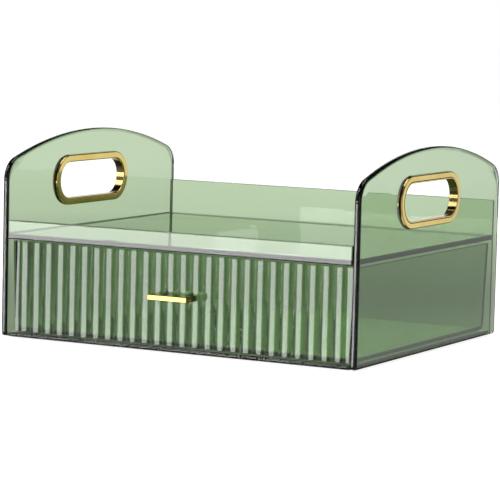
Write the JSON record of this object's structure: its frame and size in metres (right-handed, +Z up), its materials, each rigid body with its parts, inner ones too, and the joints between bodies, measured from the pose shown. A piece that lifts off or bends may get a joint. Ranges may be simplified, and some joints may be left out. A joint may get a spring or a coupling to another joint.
{
  "type": "desk organizer",
  "caption": "Clear green desk organizer: an open tray between two arched side panels with gold-rimmed hand holes, over a wide fluted drawer that slides out on a gold bar pull.",
  "frame": {"origin": "on the ground under the middle of the object's box, which counts the reach of the pull and the flanges of the grommets", "axes": "+X along the object's width, +Y from the drawer's front to the back, +Z up; the drawer opens towards -Y"},
  "size_m": [0.3024, 0.263, 0.1552],
  "materials": {
    "green_shell": "transparent green tinted, polished",
    "green_drawer": "transparent green tinted, polished, fluted front",
    "gold_grommet": "gold electroplated, polished",
    "gold_pull": "gold plated, polished",
    "steel_fixing": "zinc plated",
    "silicone_pad": "translucent silicone"
  },
  "bodies": {
    "organizer_body": {"left_side_panel": "green_shell", "right_side_panel": "green_shell", "back_panel": "green_shell", "tray_floor": "green_shell", "tray_lip": "green_shell", "base_plate": "green_shell", "left_grommet_outer": "gold_grommet", "left_grommet_inner": "gold_grommet", "right_grommet_outer": "gold_grommet", "right_grommet_inner": "gold_grommet", "foot_front_left": "silicone_pad", "foot_front_right": "silicone_pad", "foot_rear_left": "silicone_pad", "foot_rear_right": "silicone_pad", "drawer_bumpers": "silicone_pad"},
    "drawer": {"drawer_box": "green_drawer", "drawer_front": "green_drawer", "drawer_pull": "gold_pull", "pull_screws": "steel_fixing", "pull_washers": "steel_fixing"}
  },
  "joints": [
    {"name": "drawer_slide", "type": "slide", "parent": "organizer_body", "child": "drawer", "axis": [0, -1, 0], "range_m": [0, 0.16]}
  ]
}
